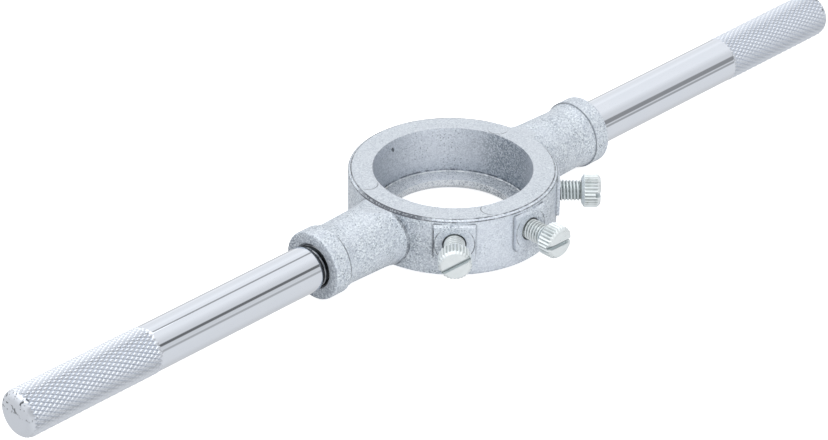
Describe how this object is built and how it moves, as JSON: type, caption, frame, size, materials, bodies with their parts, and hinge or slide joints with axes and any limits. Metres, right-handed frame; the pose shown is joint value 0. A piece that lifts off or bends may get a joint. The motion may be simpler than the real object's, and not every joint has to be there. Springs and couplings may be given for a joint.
{
  "type": "die stock handle",
  "caption": "Hand stock for round threading dies: a cast ring with a ledged die pocket and radial clamping screws, between opposed rod handles with knurled grips.",
  "frame": {"origin": "where the die pocket's axis crosses the handles' common axis", "axes": "+Z out of the pocket's mouth, X along the handles, the three screws on the -Y side"},
  "size_m": [0.27, 0.0599, 0.0168],
  "materials": {
    "casting": "bare as-cast zinc alloy, fine-grained and matte",
    "handle_chrome": "bright chrome plate on turned steel, knurled grip",
    "screw_plating": "bright zinc plate on steel"
  },
  "bodies": {
    "stock": {"stock_body": "casting", "handle_left": "handle_chrome", "handle_right": "handle_chrome"},
    "left_clamp": {"clamp_screw_left": "screw_plating"},
    "spreader": {"spreader_screw": "screw_plating"},
    "right_clamp": {"clamp_screw_right": "screw_plating"}
  },
  "joints": [
    {"name": "left_clamp_travel", "type": "slide", "parent": "stock", "child": "left_clamp", "axis": [-0.7071, -0.7071, 0], "range_m": [-0.00515, 0.0018]},
    {"name": "spreader_travel", "type": "slide", "parent": "stock", "child": "spreader", "axis": [0, -1, 0], "range_m": [-0.00515, 0.0009]},
    {"name": "right_clamp_travel", "type": "slide", "parent": "stock", "child": "right_clamp", "axis": [0.7071, -0.7071, 0], "range_m": [-0.00515, 0.0018]}
  ]
}
